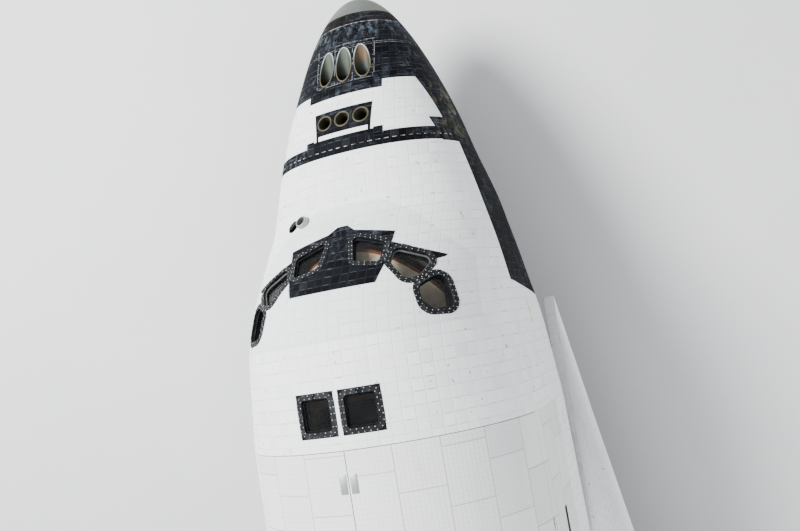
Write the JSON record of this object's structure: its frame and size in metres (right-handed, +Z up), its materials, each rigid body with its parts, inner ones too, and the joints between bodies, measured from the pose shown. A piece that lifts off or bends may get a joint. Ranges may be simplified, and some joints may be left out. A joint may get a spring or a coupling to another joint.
{
  "type": "space shuttle orbiter",
  "caption": "Winged, tiled spaceplane parked on its landing gear, with hinged payload bay doors, crew hatch, elevons, split rudder, body flap and rolling wheels.",
  "frame": {"origin": "on the floor, under the middle of the vehicle's length and width", "axes": "+X towards the nose, +Y to port, +Z up; the airframe stands 3.5 degrees nose down on its gear"},
  "size_m": [36.4222, 23.7986, 17.2162],
  "materials": {
    "white_tile": "rough ceramic tile",
    "black_tile": "satin glass-coated tile",
    "carbon": "matte carbon",
    "blanket": "quilted",
    "glass": "polished",
    "radiator": "silvered",
    "nozzle": "heat-stained",
    "gear_metal": "painted",
    "tyre": "matte",
    "cabin": "matte"
  },
  "bodies": {
    "airframe": {"aft_fuselage": "blanket", "engine_pod_left": "blanket", "engine_pod_right": "blanket", "fin": "blanket", "flight_deck": "cabin", "forward_fuselage_lower": "black_tile", "forward_fuselage_upper": "white_tile", "forward_thruster_module": "black_tile", "main_engine_left": "nozzle", "main_engine_right": "nozzle", "main_engine_upper": "nozzle", "main_gear_door_left": "black_tile", "main_gear_door_right": "black_tile", "main_gear_leg_left": "gear_metal", "main_gear_leg_right": "gear_metal", "mid_fuselage": "blanket", "nose_cap": "carbon", "nose_gear_door_left": "black_tile", "nose_gear_door_right": "black_tile", "nose_gear_leg": "gear_metal", "pod_engine_left": "nozzle", "pod_engine_right": "nozzle", "window_aft_left": "glass", "window_aft_right": "glass", "window_front_left": "glass", "window_front_right": "glass", "window_middle_left": "glass", "window_middle_right": "glass", "window_overhead_left": "glass", "window_overhead_right": "glass", "window_side_left": "glass", "window_side_right": "glass", "wing_leading_edge_left": "carbon", "wing_leading_edge_right": "carbon", "wing_left": "white_tile", "wing_right": "white_tile"},
    "payload_door_left": {"payload_door_left": "blanket", "radiator_left": "radiator"},
    "payload_door_right": {"payload_door_right": "blanket", "radiator_right": "radiator"},
    "side_hatch": {"side_hatch": "white_tile", "hatch_window": "glass"},
    "elevon_left_inner": {"elevon_inner_left": "blanket"},
    "elevon_left_outer": {"elevon_outer_left": "blanket"},
    "elevon_right_inner": {"elevon_inner_right": "blanket"},
    "elevon_right_outer": {"elevon_outer_right": "blanket"},
    "rudder_post": {"rudder_post": "gear_metal"},
    "rudder_left": {"rudder_left": "blanket"},
    "rudder_right": {"rudder_right": "blanket"},
    "body_flap": {"body_flap": "black_tile"},
    "nose_steering": {"nose_gear_steering": "gear_metal"},
    "nose_wheels": {"nose_wheel_hubs": "gear_metal", "nose_tyre_left": "tyre", "nose_tyre_right": "tyre"},
    "main_wheels_left": {"main_wheel_hubs_left": "gear_metal", "main_tyre_outer_left": "tyre", "main_tyre_inner_left": "tyre"},
    "main_wheels_right": {"main_wheel_hubs_right": "gear_metal", "main_tyre_outer_right": "tyre", "main_tyre_inner_right": "tyre"}
  },
  "joints": [
    {"name": "payload_door_left_hinge", "type": "hinge", "parent": "airframe", "child": "payload_door_left", "pos_m": [0.37027, 2.61312, 5.92577], "axis": [-0.9981, 0, 0.061], "range_deg": [0, 175.5]},
    {"name": "payload_door_right_hinge", "type": "hinge", "parent": "airframe", "child": "payload_door_right", "pos_m": [0.37027, -2.61312, 5.92577], "axis": [0.9981, 0, -0.061], "range_deg": [0, 175.5]},
    {"name": "side_hatch_hinge", "type": "hinge", "parent": "airframe", "child": "side_hatch", "pos_m": [11.44205, 2.53131, 3.48731], "axis": [-0.9981, 0, 0.061], "range_deg": [0, 90]},
    {"name": "elevon_left_inner_hinge", "type": "hinge", "parent": "airframe", "child": "elevon_left_inner", "pos_m": [-11.04734, 5.5, 3.28349], "axis": [-0.0039, -0.998, -0.0636], "range_deg": [-35, 20]},
    {"name": "elevon_left_outer_hinge", "type": "hinge", "parent": "airframe", "child": "elevon_left_outer", "pos_m": [-11.03019, 9.9, 3.56379], "axis": [-0.0039, -0.998, -0.0636], "range_deg": [-35, 20]},
    {"name": "elevon_right_inner_hinge", "type": "hinge", "parent": "airframe", "child": "elevon_right_inner", "pos_m": [-11.04734, -5.5, 3.28349], "axis": [0.0039, -0.998, 0.0636], "range_deg": [-35, 20]},
    {"name": "elevon_right_outer_hinge", "type": "hinge", "parent": "airframe", "child": "elevon_right_outer", "pos_m": [-11.03019, -9.9, 3.56379], "axis": [0.0039, -0.998, 0.0636], "range_deg": [-35, 20]},
    {"name": "rudder_hinge", "type": "hinge", "parent": "airframe", "child": "rudder_post", "pos_m": [-13.28766, 0, 10.85877], "axis": [-0.5194, 0, 0.8545], "range_deg": [-27.1, 27.1]},
    {"name": "speed_brake_left_hinge", "type": "hinge", "parent": "rudder_post", "child": "rudder_left", "pos_m": [-13.28766, 0, 10.85877], "axis": [0.5194, 0, -0.8545], "range_deg": [0, 49.3]},
    {"name": "speed_brake_right_hinge", "type": "hinge", "parent": "rudder_post", "child": "rudder_right", "pos_m": [-13.28766, 0, 10.85877], "axis": [-0.5194, 0, 0.8545], "range_deg": [0, 49.3]},
    {"name": "body_flap_hinge", "type": "hinge", "parent": "airframe", "child": "body_flap", "pos_m": [-14.72051, 0, 3.55662], "axis": [0, -1, 0], "range_deg": [-11.7, 22.5]},
    {"name": "nose_steering_hinge", "type": "hinge", "parent": "airframe", "child": "nose_steering", "pos_m": [14.51533, 0, 1.31764], "axis": [0.061, 0, 0.9981], "range_deg": [-9, 9]},
    {"name": "nose_wheels_axle", "type": "hinge", "parent": "nose_steering", "child": "nose_wheels", "pos_m": [14.45953, 0, 0.40535], "axis": [0, 1, 0], "continuous": true},
    {"name": "main_wheels_left_axle", "type": "hinge", "parent": "airframe", "child": "main_wheels_left", "pos_m": [-5.74216, 3.454, 0.56894], "axis": [0, 1, 0], "continuous": true},
    {"name": "main_wheels_right_axle", "type": "hinge", "parent": "airframe", "child": "main_wheels_right", "pos_m": [-5.74216, -3.454, 0.56894], "axis": [0, 1, 0], "continuous": true}
  ],
  "couplings": [
    {"joint": "speed_brake_right_hinge", "follows": "speed_brake_left_hinge", "ratio": 1}
  ]
}
